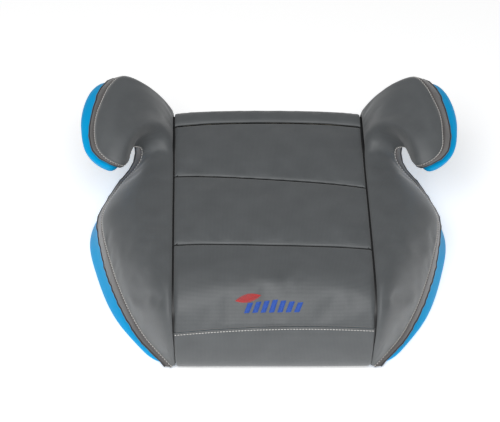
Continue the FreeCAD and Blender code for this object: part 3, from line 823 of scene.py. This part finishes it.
def knitted(name, dark, light, pitch=1.5, sheen=0.25):
    """Warp-knitted cloth: fine ribs across, with a row of small openings between them."""
    material, tree, shader = new_material(name)
    repeat = 1.0 / (pitch * MM)
    vector = coordinates(tree, (2 * math.pi * repeat, 2 * math.pi * repeat, 1), True)
    ribs = wave(tree, vector, "Y", 0.15)
    holes = wave(tree, vector, "X", 0.1)
    knit = times(tree, math_node(tree, "POWER", ribs, 0.6), plus(tree, holes, 1.2))
    knit = times(tree, knit, 0.4)
    blotch = noise(tree, coordinates(tree, (1, 1, 1), True), 35.0, 3.0)
    fuzz = noise(tree, coordinates(tree, (1, 1, 1), True), 1400.0)
    tone = plus(tree, times(tree, knit, 0.55), times(tree, blotch, 0.35))
    tone = plus(tree, tone, times(tree, fuzz, 0.2))
    tree.links.new(ramp(tree, tone, [(0.2, dark), (0.85, light)]), shader.inputs["Base Color"])
    shader.inputs["Roughness"].default_value = 0.53
    shader.inputs["Specular IOR Level"].default_value = 0.62
    shader.inputs["Sheen Weight"].default_value = sheen
    shader.inputs["Sheen Roughness"].default_value = 0.5
    bump(tree, shader, plus(tree, knit, times(tree, fuzz, 0.35)), 0.11)
    return material


def threads(name, dark, light):
    """Twisted polyester thread."""
    material, tree, shader = new_material(name)
    vector = coordinates(tree, (1, 1, 1), False)
    twist = noise(tree, vector, 2500.0, 1.0)
    tree.links.new(ramp(tree, twist, [(0.3, dark), (0.7, light)]), shader.inputs["Base Color"])
    shader.inputs["Roughness"].default_value = 0.5
    shader.inputs["Sheen Weight"].default_value = 0.2
    bump(tree, shader, twist, 0.12)
    return material


def moulded(name, base, shade, roughness, grain=0.05):
    """Moulded plastic with a fine spark-eroded grain and slightly uneven gloss."""
    material, tree, shader = new_material(name)
    vector = coordinates(tree, (1, 1, 1), False)
    grains = noise(tree, vector, 1100.0, 2.0)
    drift = noise(tree, vector, 14.0, 3.0)
    mixed = plus(tree, times(tree, drift, 0.8), times(tree, grains, 0.2))
    tree.links.new(ramp(tree, mixed, [(0.3, shade), (0.7, base)]), shader.inputs["Base Color"])
    gloss = plus(tree, times(tree, drift, 0.18), roughness - 0.09)
    tree.links.new(gloss, shader.inputs["Roughness"])
    shader.inputs["Specular IOR Level"].default_value = 0.1
    bump(tree, shader, grains, grain)
    return material


def foamed(name):
    """Open-cell foam, with fine cells."""
    material, tree, shader = new_material(name)
    node = tree.nodes.new("ShaderNodeTexVoronoi")
    node.inputs["Scale"].default_value = 900.0
    tree.links.new(coordinates(tree, (1, 1, 1), False), node.inputs["Vector"])
    cells = node.outputs["Distance"]
    colour = ramp(tree, cells, [(0.1, (0.35, 0.33, 0.26)), (0.6, (0.72, 0.69, 0.58))])
    tree.links.new(colour, shader.inputs["Base Color"])
    shader.inputs["Roughness"].default_value = 0.95
    bump(tree, shader, cells, 0.3)
    return material


def steel(name):
    """Plated steel with fine streaks."""
    material, tree, shader = new_material(name)
    streaks = noise(tree, coordinates(tree, (1, 1, 8), False), 600.0, 2.0)
    tree.links.new(ramp(tree, streaks, [(0.3, (0.5, 0.5, 0.5)), (0.7, (0.68, 0.68, 0.7))]),
                   shader.inputs["Base Color"])
    shader.inputs["Metallic"].default_value = 1.0
    shader.inputs["Roughness"].default_value = 0.32
    bump(tree, shader, streaks, 0.02)
    return material


def paint(piece, material):
    """One material for the whole piece."""
    if piece.material_slots:
        for slot in piece.material_slots:
            slot.material = material
    else:
        piece.data.materials.append(material)


CLOTH = knitted("charcoal_knit", (0.058, 0.064, 0.068), (0.128, 0.138, 0.144))
BAND_CLOTH = knitted("gusset_knit", (0.062, 0.058, 0.058), (0.125, 0.115, 0.112), pitch=1.1)
# Near-black, sheenless copy of the knit for the tapes under the seams: painted shade that stands for the
# shadow deep in each seam's groove.
SEAM_SHADE_CLOTH = knitted("seam_allowance_painted_shade", (0.004, 0.0045, 0.005), (0.012, 0.013, 0.014), sheen=0.0)
ELASTIC = threads("covered_elastic", (0.02, 0.02, 0.022), (0.05, 0.05, 0.055))
WHITE_THREAD = threads("white_thread", (0.55, 0.53, 0.5), (0.82, 0.8, 0.77))
RED_THREAD = threads("red_thread", (0.55, 0.01, 0.015), (0.82, 0.03, 0.03))
BLUE_THREAD = threads("blue_thread", (0.01, 0.06, 0.35), (0.03, 0.14, 0.62))
BLUE_PLASTIC = moulded("azure_plastic", (0.0, 0.42, 0.84), (0.0, 0.37, 0.78), 0.38)
CLIP_PLASTIC = moulded("black_clip_plastic", (0.02, 0.02, 0.02), (0.012, 0.012, 0.012), 0.4, 0.03)
LABEL_FILM = moulded("white_label_film", (0.85, 0.85, 0.85), (0.8, 0.8, 0.8), 0.35, 0.01)
FOAM = foamed("cream_foam")
STEEL = steel("zinc_plated_steel")


# ------------------------------------------------------------------ camera, light and floor

def add_camera():
    azimuth, elevation, roll = (math.radians(v) for v in CAMERA_ANGLES)
    flat = math.cos(elevation)
    back = Vector((math.sin(azimuth) * flat, -math.cos(azimuth) * flat, math.sin(elevation)))
    right = Vector((math.cos(azimuth), math.sin(azimuth), 0.0))
    up = back.cross(right)
    turned_right = right * math.cos(roll) + up * math.sin(roll)
    turned_up = up * math.cos(roll) - right * math.sin(roll)
    data = bpy.data.cameras.new("camera")
    data.lens = CAMERA_LENS
    data.sensor_width = 36.0
    camera = placed("camera", data)
    place = Vector(CAMERA_AIM) * MM + back * (CAMERA_DISTANCE * MM)
    turn = Matrix((turned_right, turned_up, back)).transposed().to_4x4()
    camera.matrix_world = Matrix.Translation(place) @ turn
    bpy.context.scene.camera = camera


def add_light(name, place, target, size, power):
    """A rectangular light at a place, in metres, that faces its target."""
    data = bpy.data.lights.new(name, "AREA")
    data.shape = "RECTANGLE"
    data.size, data.size_y = size
    data.energy = power
    light = placed(name, data)
    light.location = place
    light.rotation_euler = (Vector(target) - Vector(place)).to_track_quat("-Z", "Y").to_euler()


def add_floor():
    """A white floor that glows a little, as a lit studio sweep does."""
    size = FLOOR_HALF * MM
    corners = [(-size, -size, 0), (size, -size, 0), (size, size, 0), (-size, size, 0)]
    mesh = bpy.data.meshes.new("floor")
    mesh.from_pydata(corners, [], [(0, 1, 2, 3)])
    floor = placed("floor", mesh)
    material, _, shader = new_material("floor_white")
    shader.inputs["Base Color"].default_value = (0.93, 0.93, 0.93, 1)
    shader.inputs["Roughness"].default_value = 0.9
    shader.inputs["Emission Color"].default_value = (1, 1, 1, 1)
    shader.inputs["Emission Strength"].default_value = 0.42
    paint(floor, material)


def add_stage():
    add_floor()
    world = bpy.data.worlds.new("studio")
    world.use_nodes = True
    background = world.node_tree.nodes["Background"]
    background.inputs["Color"].default_value = (1, 1, 1, 1)
    background.inputs["Strength"].default_value = 0.25
    bpy.context.scene.world = world
    add_light("front_softbox", (-0.25, -1.4, 2.0), (0, 0, 0.05), (1.5, 1.0), 42.0)
    bpy.context.scene.view_settings.view_transform = "Standard"


# ------------------------------------------------------------------ assembly

add_camera()
add_stage()
pieces = build_side("right") + build_side("left")
centre_pieces, grids = build_centre()
pieces += centre_pieces
pieces += build_foam()
pieces += build_motif(grids["cover_front_panel"])
for piece in pieces:
    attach(piece, "root")
for node, material in (("seat_shell", BLUE_PLASTIC), ("left_armrest_core", BLUE_PLASTIC),
                       ("right_armrest_core", BLUE_PLASTIC), ("cover_clips", CLIP_PLASTIC),
                       ("armrest_screws", STEEL), ("left_belt_label", LABEL_FILM),
                       ("right_belt_label", LABEL_FILM)):
    paint(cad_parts[node], material)
